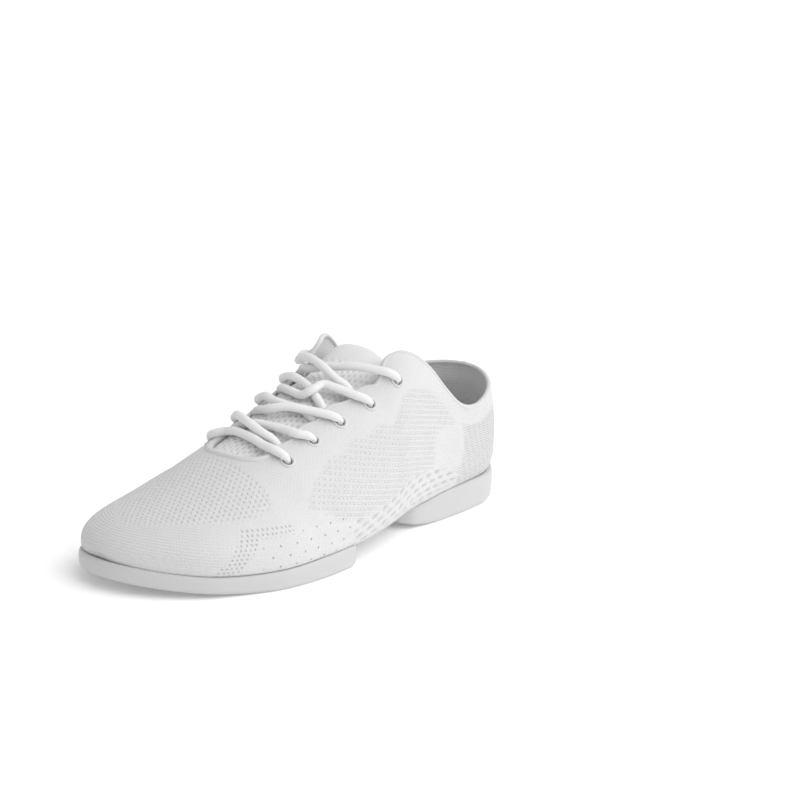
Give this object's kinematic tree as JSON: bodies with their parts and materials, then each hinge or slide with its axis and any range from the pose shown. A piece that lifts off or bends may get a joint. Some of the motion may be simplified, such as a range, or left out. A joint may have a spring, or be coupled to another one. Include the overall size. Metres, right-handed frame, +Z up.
{
  "type": "split-sole dance sneaker",
  "caption": "Low laced dance sneaker for the left foot: hollow knit upper, padded tongue, insole and a split rubber sole under heel and forefoot.",
  "frame": {"origin": "middle of the shoe's box at the floor, under the arch", "axes": "+Z up; the toe points to -Y and the heel to +Y; +X is the outer side of the foot"},
  "size_m": [0.0923, 0.2559, 0.0914],
  "materials": {
    "white_knit": "matt white knit with ribs and small holes",
    "white_rubber": "smooth satin white rubber",
    "grey_lining": "matt light grey cloth over thin foam",
    "white_cord": "white braided round cord"
  },
  "bodies": {
    "root": {"upper": "white_knit", "tongue": "white_knit", "insole": "grey_lining", "forefoot_sole": "white_rubber", "heel_sole": "white_rubber", "arch_strip": "white_rubber", "lace_bar": "white_cord", "lace_crossing_1": "white_cord", "lace_crossing_2": "white_cord", "lace_crossing_3": "white_cord", "lace_crossing_4": "white_cord"}
  },
  "joints": []
}
